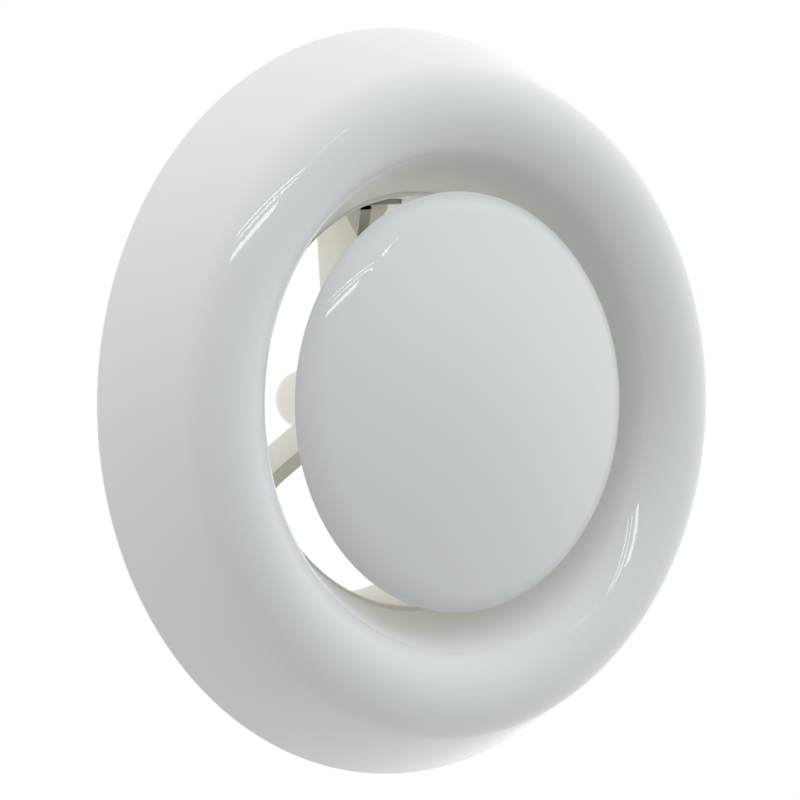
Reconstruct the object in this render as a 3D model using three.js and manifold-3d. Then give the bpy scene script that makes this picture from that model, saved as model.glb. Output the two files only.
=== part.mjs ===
// Adjustable disc valve for a ceiling duct: a face ring, a neck that enters the duct, and a disc on a screw.
// Millimetres. The ceiling is the plane z = 0, the duct is above it, and the valve faces down into the room.
import * as THREE from 'three';
import { mergeVertices } from 'three/addons/utils/BufferGeometryUtils.js';
import Module from 'manifold-3d';

const wasm = await Module();
wasm.setup();

// Fits and cutting
const CLEARANCE = 0.3;
const OVERRUN = 2;
const WELD = 1e-4;
const ROUND_STEPS = 64;
const SMALL_STEPS = 24;
const SCREW_STEPS = 12;
const COPIES = 3;

// Neck: a slightly tapered sleeve with a flange behind the face ring
const NECK_INNER_RADIUS = 40.4;
const NECK_WALL = 2;
const NECK_TAPER = 0.6;
const NECK_REACH = 25.4;
const NECK_CHAMFER = 0.8;
const FLANGE_MARGIN = 5;
const FLANGE_THICKNESS = 2;

// Face ring: a hollow skirt, a thick rounded lip and a funnel down to the neck
const THROAT_STEP = 0.7;
const THROAT_DROP = 3.3;
const LIP_SPREAD = 15.5;
const LIP_ROUND = 10.2;
const LIP_DROP = 21.7;
const SKIRT_SPREAD = 17.4;
const RING_WALL = 2.2;
const LIP_STEPS = 12;
const RIB_COUNT = 12;
const RIB_THICKNESS = 1.6;
const RIB_START_DROP = 7;

// Groove behind the rim, and the foam gasket in it
const GROOVE_WIDTH = 8;
const GROOVE_WALL = 1.5;
const GROOVE_DEPTH = 2;
const LEDGE_THICKNESS = 1.8;
const GASKET_PROUD = 0.8;

// Screws that hold the neck flange to the face ring
const SCREW_STAND_OFF = 4.6;
const SCREW_RADIUS = 1.3;
const SCREW_HEAD_RADIUS = 2.6;
const SCREW_HEAD_HEIGHT = 1.7;
const SCREW_LENGTH = 7.6;
const SCREW_TIP = 1;
const DRIVE_RADIUS = 1.3;
const DRIVE_DEPTH = 0.9;
const BOSS_RADIUS = 3.5;

// Bridge: three deep thin arms from a hub boss to wide feet at the neck wall
const ARM_THICKNESS = 2.75;
const ARM_FRONT = 13.9;
const ARM_SLOPE = 11.4;
const FOOT_FRONT = 10.6;
const FOOT_WIDTH = 11.4;
const FOOT_DEPTH = 2;
const FOOT_FLARE = 5.4;
const HUB_WALL = 2.1;

// Hub sleeve: a blind threaded tube with a domed end
const SLEEVE_WALL = 1.8;
const SLEEVE_TIP = 40.6;
const SLEEVE_FLANGE_RIM = 2.4;
const SLEEVE_FLANGE_THICKNESS = 1.2;
const SLEEVE_END_WALL = 2.2;
const DOME_STEPS = 6;

// Spindle, nuts and washers
const SPINDLE_RADIUS = 4;
const SPINDLE_TOP = 24;
const SPINDLE_CHAMFER = 0.8;
const SPINDLE_TAIL = 1.2;
const COLLAR_RIM = 2.2;
const COLLAR_THICKNESS = 1.2;
const NUT_SIDES = 6;
const NUT_WALL = 2.2;
const LOCK_NUT_HEIGHT = 5.5;
const SPINDLE_NUT_HEIGHT = 4.5;
const WASHER_RIM = 3.7;
const WASHER_THICKNESS = 1;

// Disc: a domed shell with a round edge, and a back plate with a boss and ribs
const DISC_OVERHANG = 0.5;
const DISC_EDGE_DROP = 16.7;
const DISC_EDGE_DEGREES = 61;
const DISC_ROUND = 8.8;
const CROWN_RADIUS = 96;
const DISC_WALL = 2;
const DISC_EDGE_BEVEL = 0.8;
const DISC_ROUND_STEPS = 6;
const CROWN_STEPS = 6;
const PLATE_LIP = 0.7;
const PLATE_THICKNESS = 1.5;
const PLATE_SET_BACK = 0.2;
const PLATE_BOSS_WALL = 4.7;
const PLATE_BOSS_HEIGHT = 3.7;
const PLATE_RIB_COUNT = 6;
const PLATE_RIB_THICKNESS = 1.4;
const PLATE_RIB_MARGIN = 4.2;

// Spring clips: bowed steel leaves, each with its root in a pocket and its tip through a slot in the neck
const CLIP_WIDTH = 10.5;
const CLIP_THICKNESS = 0.6;
const CLIP_BOW = 7.4;
const CLIP_ROOT_SET_BACK = 3.1;
const CLIP_TAB_DEPTH = 2.8;
const CLIP_CREST_HEIGHT = 11;
const CLIP_TIP_PROUD = 1.1;
const CLIP_TIP_HEIGHT = 4.7;
const CLIP_SHOULDER_DROP = 3.2;
const CLIP_SHOULDER_RISE = 1.2;
const CLIP_BEND = 2.6;
const BEND_STEPS = 4;
const POCKET_STAND_OFF = 4.2;
const POCKET_BLOCK_WIDTH = 14.4;
const POCKET_BLOCK_LENGTH = 6.4;
const POCKET_DEPTH = 3.5;
const POCKET_FLARE = 1.4;
const SLOT_REAR_ROOM = 2.6;

// Screws that hold the feet of the bridge to the neck, just in front of the pockets
const FOOT_SCREW_MARGIN = 1;
const FOOT_SCREW_LENGTH = 7;

// Radii worked out from the neck outwards
const NECK_OUTER_RADIUS = NECK_INNER_RADIUS + NECK_WALL;
const THROAT_RADIUS = NECK_INNER_RADIUS + THROAT_STEP;
const LIP_RING_RADIUS = THROAT_RADIUS + LIP_SPREAD;
const RIM_RADIUS = LIP_RING_RADIUS + SKIRT_SPREAD;
const SCREW_CIRCLE_RADIUS = NECK_OUTER_RADIUS + SCREW_STAND_OFF;
const FLANGE_RADIUS = SCREW_CIRCLE_RADIUS + FLANGE_MARGIN;
const CLIP_PIVOT_RADIUS = NECK_OUTER_RADIUS + POCKET_STAND_OFF;
const CLIP_CREST_RADIUS = CLIP_PIVOT_RADIUS + CLIP_BOW;
const FOOT_FULL_RADIUS = NECK_INNER_RADIUS - FOOT_DEPTH;
const FOOT_START_RADIUS = FOOT_FULL_RADIUS - FOOT_FLARE;
const ARM_FLAT_REACH = FOOT_FULL_RADIUS - ARM_SLOPE;
const DISC_RADIUS = NECK_INNER_RADIUS + DISC_OVERHANG;
const PLATE_RADIUS = DISC_RADIUS - DISC_WALL - PLATE_LIP;
const PLATE_RIB_REACH = PLATE_RADIUS - PLATE_RIB_MARGIN;
const BORE_RADIUS = SPINDLE_RADIUS + CLEARANCE;
const COLLAR_RADIUS = SPINDLE_RADIUS + COLLAR_RIM;
const NUT_FLAT_RADIUS = BORE_RADIUS + NUT_WALL;
const WASHER_RADIUS = BORE_RADIUS + WASHER_RIM;
const PLATE_BOSS_RADIUS = BORE_RADIUS + PLATE_BOSS_WALL;
const SLEEVE_RADIUS = BORE_RADIUS + SLEEVE_WALL;
const SLEEVE_FLANGE_RADIUS = SLEEVE_RADIUS + SLEEVE_FLANGE_RIM;
const HUB_BORE_RADIUS = SLEEVE_RADIUS + CLEARANCE;
const HUB_BOSS_RADIUS = HUB_BORE_RADIUS + HUB_WALL;
const SCREW_HOLE_RADIUS = SCREW_RADIUS + CLEARANCE;

// Heights and drops worked out from the sizes above
const LIP_CENTRE_DROP = LIP_DROP - LIP_ROUND;
const NECK_TOP_DROP = THROAT_DROP - CLEARANCE;
const FLANGE_BACK_DROP = NECK_TOP_DROP - FLANGE_THICKNESS;
const SLEEVE_FLANGE_LOW = ARM_FRONT - CLEARANCE - SLEEVE_FLANGE_THICKNESS;
const LOCK_WASHER_LOW = SLEEVE_FLANGE_LOW - CLEARANCE - WASHER_THICKNESS;
const LOCK_NUT_LOW = LOCK_WASHER_LOW - CLEARANCE - LOCK_NUT_HEIGHT;
const PLATE_TOP_DROP = DISC_EDGE_DROP - DISC_EDGE_BEVEL - PLATE_SET_BACK;
const PLATE_REAR_DROP = PLATE_TOP_DROP - PLATE_THICKNESS;
const PLATE_BOSS_DROP = PLATE_REAR_DROP - PLATE_BOSS_HEIGHT;
const COLLAR_DROP = PLATE_BOSS_DROP - CLEARANCE - COLLAR_THICKNESS;
const SPINDLE_WASHER_DROP = PLATE_TOP_DROP + CLEARANCE;
const SPINDLE_NUT_DROP = SPINDLE_WASHER_DROP + WASHER_THICKNESS + CLEARANCE;
const SPINDLE_END_DROP = SPINDLE_NUT_DROP + SPINDLE_NUT_HEIGHT + SPINDLE_TAIL;
const POCKET_BLOCK_FRONT = NECK_REACH - POCKET_BLOCK_LENGTH;
const CLIP_PIVOT_HEIGHT = NECK_REACH - CLIP_ROOT_SET_BACK;
const FOOT_SCREW_HEIGHT = POCKET_BLOCK_FRONT - SCREW_HEAD_RADIUS - FOOT_SCREW_MARGIN;

// Angles about the axis
const TURN = 2 * Math.PI;
const ARM_ANGLES = Array.from({ length: COPIES }, (_, i) => TURN / 4 + (i * TURN) / COPIES);
const SCREW_ANGLES = ARM_ANGLES.map((angle) => angle + TURN / 2);

// Finishes
const GLOSS_WHITE = { color: 0xe9ebeb, roughness: 0.22, metalness: 0 };
const MATTE_WHITE = { color: 0xe2e0d6, roughness: 0.5, metalness: 0 };
const STEEL = { color: 0x8d8f90, roughness: 0.35, metalness: 1 };
const ZINC = { color: 0xb4b7ba, roughness: 0.3, metalness: 1 };
const FOAM = { color: 0xc9c9c6, roughness: 0.95, metalness: 0 };

// The bare, welded triangles of a geometry, as a solid that can be joined and cut
function solidOf(geometry) {
  const bare = geometry.clone();
  bare.deleteAttribute('normal');
  bare.deleteAttribute('uv');
  const welded = mergeVertices(bare, WELD);
  const corners = welded.index.array;
  const kept = [];
  for (let i = 0; i < corners.length; i += 3) {
    const [a, b, c] = [corners[i], corners[i + 1], corners[i + 2]];
    if (a !== b && b !== c && c !== a) kept.push(a, b, c);
  }
  const vertProperties = new Float32Array(welded.attributes.position.array);
  const build = (order) =>
    new wasm.Manifold(new wasm.Mesh({ numProp: 3, vertProperties, triVerts: new Uint32Array(order) }));
  const solid = build(kept);
  return solid.volume() > 0 ? solid : build(kept.reverse());
}

function geometryOf(solid) {
  const mesh = solid.getMesh();
  const geometry = new THREE.BufferGeometry();
  geometry.setAttribute('position', new THREE.BufferAttribute(new Float32Array(mesh.vertProperties), 3));
  geometry.setIndex(new THREE.BufferAttribute(new Uint32Array(mesh.triVerts), 1));
  geometry.computeVertexNormals();
  return geometry;
}

// Joins every solid in a list to the first
const joined = (first, others) => others.reduce((sum, solid) => sum.add(solid), first);
const cutBy = (first, others) => others.reduce((rest, solid) => rest.subtract(solid), first);

// A round solid about the Z axis; its outline is a list of [radius, z], closed on itself or on the axis
function turned(outline, steps = ROUND_STEPS) {
  const points = outline.map(([radius, z]) => new THREE.Vector2(radius, z));
  if (outline[0][0] > 0) points.push(points[0].clone());
  return solidOf(new THREE.LatheGeometry(points, steps).rotateX(TURN / 4));
}

function cylinder(radius, low, high, steps = SMALL_STEPS) {
  return turned([[0, low], [radius, low], [radius, high], [0, high]], steps);
}

function ring(inner, outer, low, high, steps = SMALL_STEPS) {
  return turned([[inner, low], [outer, low], [outer, high], [inner, high]], steps);
}

function extruded(outline, depth, holeRadius = 0) {
  const shape = new THREE.Shape(outline.map(([x, y]) => new THREE.Vector2(x, y)));
  if (holeRadius > 0) {
    shape.holes.push(new THREE.Path().absarc(0, 0, holeRadius, 0, TURN, true));
  }
  return new THREE.ExtrudeGeometry(shape, { depth, bevelEnabled: false, curveSegments: SMALL_STEPS });
}

// A plate that stands on the radius at an angle; its outline is a list of [radius, z]
function radialPlate(outline, width, angle) {
  const plate = extruded(outline, width).translate(0, 0, -width / 2);
  return solidOf(plate.rotateX(TURN / 4).rotateZ(angle));
}

// A plate that lies flat between two heights; its outline is a list of [radius, across]
function levelPlate(outline, low, high, angle) {
  return solidOf(extruded(outline, high - low).translate(0, 0, low).rotateZ(angle));
}

// A round rod that lies on the radius at an angle
function radialRod(radius, from, to, height, angle) {
  const rod = new THREE.CylinderGeometry(radius, radius, to - from, SMALL_STEPS);
  return solidOf(rod.rotateZ(TURN / 4).translate((from + to) / 2, 0, height).rotateZ(angle));
}

// Upright rods where the neck's screws are
function screwRods(radius, low, high) {
  return SCREW_ANGLES.map((angle) => {
    const rod = new THREE.CylinderGeometry(radius, radius, high - low, SMALL_STEPS).rotateX(TURN / 4);
    return solidOf(rod.translate(SCREW_CIRCLE_RADIUS, 0, (low + high) / 2).rotateZ(angle));
  });
}

function named(name, solid, finish) {
  const mesh = new THREE.Mesh(geometryOf(solid), new THREE.MeshStandardMaterial(finish));
  mesh.name = name;
  return mesh;
}

// How far a line from a point to the lip's round leans, the point being so far across and along from its centre
function lean(across, along, radius) {
  return Math.acos(radius / Math.hypot(across, along)) - Math.atan2(along, across);
}

const SKIRT_LEAN = lean(RIM_RADIUS - LIP_RING_RADIUS, LIP_CENTRE_DROP, LIP_ROUND);
const FUNNEL_LEAN = lean(LIP_RING_RADIUS - THROAT_RADIUS, LIP_CENTRE_DROP - THROAT_DROP, LIP_ROUND);

// Points round the lip at a radius, from the skirt's side to the funnel's side
function lipArc(radius, steps) {
  const sweep = TURN / 2 - SKIRT_LEAN - FUNNEL_LEAN;
  return Array.from({ length: steps + 1 }, (_, i) => {
    const angle = SKIRT_LEAN + (sweep * i) / steps;
    return [LIP_RING_RADIUS + radius * Math.cos(angle), -LIP_CENTRE_DROP - radius * Math.sin(angle)];
  });
}

// The radius of the skirt's or the funnel's face at a drop, set in by a depth square to the face
const skirtRadius = (drop, depth) => RIM_RADIUS - drop * Math.tan(SKIRT_LEAN) - depth / Math.cos(SKIRT_LEAN);
const funnelRadius = (drop, depth) =>
  THROAT_RADIUS + (drop - THROAT_DROP) * Math.tan(FUNNEL_LEAN) + depth / Math.cos(FUNNEL_LEAN);

// The inner face of the neck, which narrows towards its rear end
const neckInside = (height) =>
  NECK_INNER_RADIUS - (NECK_TAPER * (height + NECK_TOP_DROP)) / (NECK_REACH + NECK_TOP_DROP);

function faceRing() {
  const grooveOuter = skirtRadius(GROOVE_DEPTH, RING_WALL);
  const ledgeBack = GROOVE_DEPTH + LEDGE_THICKNESS;
  const grooveInner = grooveOuter - GROOVE_WIDTH;
  const ledgeInner = grooveInner - GROOVE_WALL;
  const shell = turned([
    [RIM_RADIUS, 0],
    ...lipArc(LIP_ROUND, LIP_STEPS),
    [THROAT_RADIUS, -THROAT_DROP],
    [funnelRadius(THROAT_DROP, RING_WALL), -THROAT_DROP],
    ...lipArc(LIP_ROUND - RING_WALL, LIP_STEPS / 2).reverse(),
    [skirtRadius(ledgeBack, RING_WALL), -ledgeBack],
    [ledgeInner, -ledgeBack],
    [ledgeInner, 0],
    [grooveInner, 0],
    [grooveInner, -GROOVE_DEPTH],
    [grooveOuter, -GROOVE_DEPTH],
    [skirtRadius(0, RING_WALL), 0],
  ]);
  // The hollow up to the middle of the wall, which ribs and bosses fill in part
  const middle = RING_WALL / 2;
  const hollowFrom = (drop) => [
    [skirtRadius(drop, middle), -drop],
    ...lipArc(LIP_ROUND - middle, LIP_STEPS / 2),
    [funnelRadius(drop, middle), -drop],
  ];
  const ribs = Array.from({ length: RIB_COUNT }, (_, i) =>
    radialPlate(hollowFrom(RIB_START_DROP), RIB_THICKNESS, ((i + 1 / 2) * TURN) / RIB_COUNT));
  const hollow = turned(hollowFrom(THROAT_DROP));
  const bosses = screwRods(BOSS_RADIUS, -LIP_DROP, -THROAT_DROP).map((boss) => boss.intersect(hollow));
  const holeDepth = SCREW_LENGTH - FLANGE_THICKNESS + CLEARANCE;
  const holes = screwRods(SCREW_HOLE_RADIUS, -THROAT_DROP - holeDepth, -THROAT_DROP + OVERRUN);
  return cutBy(joined(shell, [...ribs, ...bosses]), holes);
}

function rimGasket() {
  const outer = skirtRadius(GROOVE_DEPTH, RING_WALL) - CLEARANCE;
  const inner = outer - GROOVE_WIDTH + 2 * CLEARANCE;
  return ring(inner, outer, -GROOVE_DEPTH + CLEARANCE, GASKET_PROUD, ROUND_STEPS);
}

function neckSleeve() {
  const rear = neckInside(NECK_REACH);
  const sleeve = turned([
    [NECK_INNER_RADIUS, -NECK_TOP_DROP],
    [FLANGE_RADIUS, -NECK_TOP_DROP],
    [FLANGE_RADIUS, -FLANGE_BACK_DROP],
    [neckInside(-FLANGE_BACK_DROP) + NECK_WALL, -FLANGE_BACK_DROP],
    [neckInside(NECK_REACH - NECK_CHAMFER) + NECK_WALL, NECK_REACH - NECK_CHAMFER],
    [rear + NECK_WALL - NECK_CHAMFER, NECK_REACH],
    [rear, NECK_REACH],
  ]);
  const blockInner = rear + NECK_WALL / 2;
  const blocks = ARM_ANGLES.map((angle) => radialPlate([
    [blockInner, POCKET_BLOCK_FRONT],
    [CLIP_PIVOT_RADIUS, POCKET_BLOCK_FRONT],
    [CLIP_PIVOT_RADIUS, NECK_REACH],
    [blockInner, NECK_REACH],
  ], POCKET_BLOCK_WIDTH, angle));
  const half = CLIP_THICKNESS / 2 + CLEARANCE;
  const pocketWidth = CLIP_WIDTH + 2 * CLEARANCE;
  const pockets = ARM_ANGLES.map((angle) => radialPlate([
    [CLIP_PIVOT_RADIUS - POCKET_DEPTH, CLIP_PIVOT_HEIGHT - half],
    [CLIP_PIVOT_RADIUS + OVERRUN, CLIP_PIVOT_HEIGHT - half],
    [CLIP_PIVOT_RADIUS + OVERRUN, CLIP_PIVOT_HEIGHT + half],
    [CLIP_PIVOT_RADIUS, CLIP_PIVOT_HEIGHT + half],
    [CLIP_PIVOT_RADIUS - POCKET_DEPTH, CLIP_PIVOT_HEIGHT + half + POCKET_FLARE],
  ], pocketWidth, angle));
  const slots = ARM_ANGLES.map((angle) => radialPlate([
    [rear - OVERRUN, CLIP_TIP_HEIGHT - half],
    [NECK_OUTER_RADIUS + OVERRUN, CLIP_TIP_HEIGHT - half],
    [NECK_OUTER_RADIUS + OVERRUN, CLIP_TIP_HEIGHT + half + SLOT_REAR_ROOM],
    [rear - OVERRUN, CLIP_TIP_HEIGHT + half + SLOT_REAR_ROOM],
  ], pocketWidth, angle));
  const footHoles = ARM_ANGLES.map((angle) =>
    radialRod(SCREW_HOLE_RADIUS, rear - OVERRUN, NECK_OUTER_RADIUS + OVERRUN, FOOT_SCREW_HEIGHT, angle));
  const flangeHoles = screwRods(SCREW_HOLE_RADIUS, -NECK_TOP_DROP - OVERRUN, -FLANGE_BACK_DROP + OVERRUN);
  return cutBy(joined(sleeve, blocks), [...pockets, ...slots, ...footHoles, ...flangeHoles]);
}

function bridge() {
  const wallGap = (height) => neckInside(height) - CLEARANCE;
  const inside = turned([
    [0, FOOT_FRONT - OVERRUN],
    [wallGap(FOOT_FRONT - OVERRUN), FOOT_FRONT - OVERRUN],
    [wallGap(NECK_REACH), NECK_REACH],
    [0, NECK_REACH],
  ]);
  const past = NECK_INNER_RADIUS + OVERRUN;
  const hub = cylinder(HUB_BOSS_RADIUS, ARM_FRONT, NECK_REACH);
  const start = HUB_BOSS_RADIUS / 2;
  const arms = ARM_ANGLES.map((angle) => radialPlate([
    [start, ARM_FRONT],
    [ARM_FLAT_REACH, ARM_FRONT],
    [FOOT_FULL_RADIUS, FOOT_FRONT],
    [past, FOOT_FRONT],
    [past, NECK_REACH],
    [start, NECK_REACH],
  ], ARM_THICKNESS, angle));
  const fullShare = (FOOT_START_RADIUS - ARM_FLAT_REACH) / (FOOT_FULL_RADIUS - ARM_FLAT_REACH);
  const footLow = ARM_FRONT + (FOOT_FRONT - ARM_FRONT) * fullShare;
  const footShape = [
    [FOOT_START_RADIUS, -ARM_THICKNESS / 2],
    [FOOT_FULL_RADIUS, -FOOT_WIDTH / 2],
    [past, -FOOT_WIDTH / 2],
    [past, FOOT_WIDTH / 2],
    [FOOT_FULL_RADIUS, FOOT_WIDTH / 2],
    [FOOT_START_RADIUS, ARM_THICKNESS / 2],
  ];
  // Each foot slopes at the front as its arm does
  const feet = ARM_ANGLES.map((angle) =>
    levelPlate(footShape, FOOT_FRONT - OVERRUN, NECK_REACH, angle).intersect(radialPlate([
      [FOOT_START_RADIUS, footLow],
      [FOOT_FULL_RADIUS, FOOT_FRONT],
      [past, FOOT_FRONT],
      [past, NECK_REACH],
      [FOOT_START_RADIUS, NECK_REACH],
    ], FOOT_WIDTH, angle)));
  const bore = cylinder(HUB_BORE_RADIUS, ARM_FRONT - OVERRUN, NECK_REACH + OVERRUN);
  const holes = ARM_ANGLES.map((angle) => radialRod(
    SCREW_HOLE_RADIUS, footScrewTip() - CLEARANCE, past, FOOT_SCREW_HEIGHT, angle));
  return cutBy(joined(hub, [...arms, ...feet]).intersect(inside), [bore, ...holes]);
}

function hubSleeve() {
  const domeBase = SLEEVE_TIP - SLEEVE_RADIUS;
  const dome = Array.from({ length: DOME_STEPS }, (_, i) => {
    const angle = (TURN / 4) * (i / DOME_STEPS);
    return [SLEEVE_RADIUS * Math.cos(angle), domeBase + SLEEVE_RADIUS * Math.sin(angle)];
  });
  return turned([
    [0, SLEEVE_TIP - SLEEVE_END_WALL],
    [BORE_RADIUS, SLEEVE_TIP - SLEEVE_END_WALL - BORE_RADIUS / 2],
    [BORE_RADIUS, SLEEVE_FLANGE_LOW],
    [SLEEVE_FLANGE_RADIUS, SLEEVE_FLANGE_LOW],
    [SLEEVE_FLANGE_RADIUS, SLEEVE_FLANGE_LOW + SLEEVE_FLANGE_THICKNESS],
    [SLEEVE_RADIUS, SLEEVE_FLANGE_LOW + SLEEVE_FLANGE_THICKNESS],
    ...dome,
    [0, SLEEVE_TIP],
  ], SMALL_STEPS);
}

// A pan-head screw along Z, its head's seat at z = 0 and its shank pointing down
function screw(length) {
  const round = SCREW_HEAD_HEIGHT / 2;
  return turned([
    [0, -length],
    [SCREW_RADIUS / 2, -length],
    [SCREW_RADIUS, SCREW_TIP - length],
    [SCREW_RADIUS, 0],
    [SCREW_HEAD_RADIUS, 0],
    [SCREW_HEAD_RADIUS, round],
    [SCREW_HEAD_RADIUS - round, SCREW_HEAD_HEIGHT],
    [DRIVE_RADIUS, SCREW_HEAD_HEIGHT],
    [DRIVE_RADIUS / 2, SCREW_HEAD_HEIGHT - DRIVE_DEPTH],
    [0, SCREW_HEAD_HEIGHT - DRIVE_DEPTH],
  ], SCREW_STEPS);
}

const footScrewSeat = () => neckInside(FOOT_SCREW_HEIGHT) + NECK_WALL + CLEARANCE;
const footScrewTip = () => footScrewSeat() - FOOT_SCREW_LENGTH;

function hexNut(low, height) {
  const corner = NUT_FLAT_RADIUS / Math.cos(TURN / NUT_SIDES / 2);
  const outline = Array.from({ length: NUT_SIDES }, (_, i) => {
    const angle = (i * TURN) / NUT_SIDES;
    return [corner * Math.cos(angle), corner * Math.sin(angle)];
  });
  return solidOf(extruded(outline, height, BORE_RADIUS).translate(0, 0, low));
}

function spindle() {
  return turned([
    [0, -SPINDLE_END_DROP],
    [SPINDLE_RADIUS - SPINDLE_CHAMFER, -SPINDLE_END_DROP],
    [SPINDLE_RADIUS, -SPINDLE_END_DROP + SPINDLE_CHAMFER],
    [SPINDLE_RADIUS, -COLLAR_DROP - COLLAR_THICKNESS],
    [COLLAR_RADIUS, -COLLAR_DROP - COLLAR_THICKNESS],
    [COLLAR_RADIUS, -COLLAR_DROP],
    [SPINDLE_RADIUS, -COLLAR_DROP],
    [SPINDLE_RADIUS, SPINDLE_TOP - SPINDLE_CHAMFER],
    [SPINDLE_RADIUS - SPINDLE_CHAMFER, SPINDLE_TOP],
    [0, SPINDLE_TOP],
  ], SMALL_STEPS);
}

// The disc's face: the round at its edge, from the edge's lean on, runs smoothly into the wide crown
const EDGE_LEAN = THREE.MathUtils.degToRad(DISC_EDGE_DEGREES);
const ROUND_RING_RADIUS = DISC_RADIUS - DISC_ROUND * Math.sin(EDGE_LEAN);
const ROUND_CENTRE_DROP = DISC_EDGE_DROP - DISC_ROUND * Math.cos(EDGE_LEAN);
const CROWN_LEAN = Math.asin(ROUND_RING_RADIUS / (CROWN_RADIUS - DISC_ROUND));
const CROWN_CENTRE_DROP = ROUND_CENTRE_DROP - (CROWN_RADIUS - DISC_ROUND) * Math.cos(CROWN_LEAN);

// Points on the disc's face, set in by a depth, from where it has a lean to the axis
function discFace(depth, fromLean) {
  const arc = (ringRadius, centreDrop, radius, from, to, steps) =>
    Array.from({ length: steps + 1 }, (_, i) => {
      const angle = from + ((to - from) * i) / steps;
      return [ringRadius + radius * Math.sin(angle), -centreDrop - radius * Math.cos(angle)];
    });
  return [
    ...arc(ROUND_RING_RADIUS, ROUND_CENTRE_DROP, DISC_ROUND - depth, fromLean, CROWN_LEAN, DISC_ROUND_STEPS),
    ...arc(0, CROWN_CENTRE_DROP, CROWN_RADIUS - depth, CROWN_LEAN, 0, CROWN_STEPS).slice(1),
  ];
}

function discShell() {
  const rearDrop = DISC_EDGE_DROP - DISC_EDGE_BEVEL;
  const mouth = PLATE_RADIUS + CLEARANCE;
  const mouthLean = Math.asin((mouth - ROUND_RING_RADIUS) / (DISC_ROUND - DISC_WALL));
  return turned([
    ...discFace(DISC_WALL, mouthLean).reverse(),
    [mouth, -rearDrop],
    [DISC_RADIUS - DISC_EDGE_BEVEL, -rearDrop],
    ...discFace(0, EDGE_LEAN),
  ]);
}

function discBackPlate() {
  const plate = turned([
    [BORE_RADIUS, -PLATE_TOP_DROP],
    [PLATE_RADIUS, -PLATE_TOP_DROP],
    [PLATE_RADIUS, -PLATE_REAR_DROP],
    [PLATE_BOSS_RADIUS, -PLATE_REAR_DROP],
    [PLATE_BOSS_RADIUS, -PLATE_BOSS_DROP],
    [BORE_RADIUS, -PLATE_BOSS_DROP],
  ]);
  const inner = (BORE_RADIUS + PLATE_BOSS_RADIUS) / 2;
  const middle = PLATE_REAR_DROP + PLATE_THICKNESS / 2;
  const ribs = Array.from({ length: PLATE_RIB_COUNT }, (_, i) => radialPlate([
    [inner, -PLATE_BOSS_DROP],
    [PLATE_BOSS_RADIUS, -PLATE_BOSS_DROP],
    [PLATE_RIB_REACH, -PLATE_REAR_DROP],
    [PLATE_RIB_REACH, -middle],
    [inner, -middle],
  ], PLATE_RIB_THICKNESS, (i * TURN) / PLATE_RIB_COUNT));
  return joined(plate, ribs);
}

// A line through corners in order, each rounded by a bend
function bentLine(corners, bend) {
  const path = new THREE.Path();
  const towards = (a, b, distance) => {
    const from = new THREE.Vector2(...a);
    const step = new THREE.Vector2(...b).sub(from);
    return from.add(step.setLength(Math.min(distance, step.length() / 2)));
  };
  path.moveTo(...corners[0]);
  for (let i = 1; i < corners.length - 1; i += 1) {
    const before = towards(corners[i], corners[i - 1], bend);
    const after = towards(corners[i], corners[i + 1], bend);
    path.lineTo(before.x, before.y);
    path.quadraticCurveTo(...corners[i], after.x, after.y);
  }
  path.lineTo(...corners[corners.length - 1]);
  return path.getPoints(BEND_STEPS);
}

// The outline of a strip of even thickness along a line of points
function stripOutline(points, thickness) {
  const side = (sign) => points.map((point, i) => {
    const before = points[Math.max(i - 1, 0)];
    const after = points[Math.min(i + 1, points.length - 1)];
    const along = after.clone().sub(before).normalize();
    return [point.x - (sign * along.y * thickness) / 2, point.y + (sign * along.x * thickness) / 2];
  });
  return [...side(1), ...side(-1).reverse()];
}

// One spring clip on the +X radius: root tab, rising wing, rounded crest and front leg
function springClip() {
  const tip = neckInside(CLIP_TIP_HEIGHT) - CLIP_TIP_PROUD;
  const line = bentLine([
    [CLIP_PIVOT_RADIUS - CLIP_TAB_DEPTH, CLIP_PIVOT_HEIGHT],
    [CLIP_PIVOT_RADIUS + 2 * CLIP_THICKNESS, CLIP_PIVOT_HEIGHT],
    [CLIP_CREST_RADIUS, CLIP_CREST_HEIGHT],
    [CLIP_CREST_RADIUS - CLIP_SHOULDER_DROP, CLIP_TIP_HEIGHT + CLIP_SHOULDER_RISE],
    [tip, CLIP_TIP_HEIGHT],
  ], CLIP_BEND);
  return radialPlate(stripOutline(line, CLIP_THICKNESS), CLIP_WIDTH, 0);
}

// The assembly
const group = new THREE.Group();
group.add(named('face_ring', faceRing(), GLOSS_WHITE));
group.add(named('rim_gasket', rimGasket(), FOAM));
group.add(named('neck_sleeve', neckSleeve(), MATTE_WHITE));
group.add(named('bridge', bridge(), MATTE_WHITE));
group.add(named('hub_sleeve', hubSleeve(), MATTE_WHITE));

SCREW_ANGLES.forEach((angle, i) => {
  const mesh = named(`neck_screw_${i + 1}`, screw(SCREW_LENGTH), ZINC);
  const seat = -FLANGE_BACK_DROP + CLEARANCE;
  mesh.position.set(SCREW_CIRCLE_RADIUS * Math.cos(angle), SCREW_CIRCLE_RADIUS * Math.sin(angle), seat);
  group.add(mesh);
});

ARM_ANGLES.forEach((angle, i) => {
  const mesh = named(`bridge_screw_${i + 1}`, screw(FOOT_SCREW_LENGTH), ZINC);
  mesh.rotation.y = TURN / 4;
  mesh.position.set(footScrewSeat(), 0, FOOT_SCREW_HEIGHT);
  const arm = new THREE.Group();
  arm.rotation.z = angle;
  arm.add(mesh);
  arm.add(named(`spring_clip_${i + 1}`, springClip(), STEEL));
  group.add(arm);
});

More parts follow.
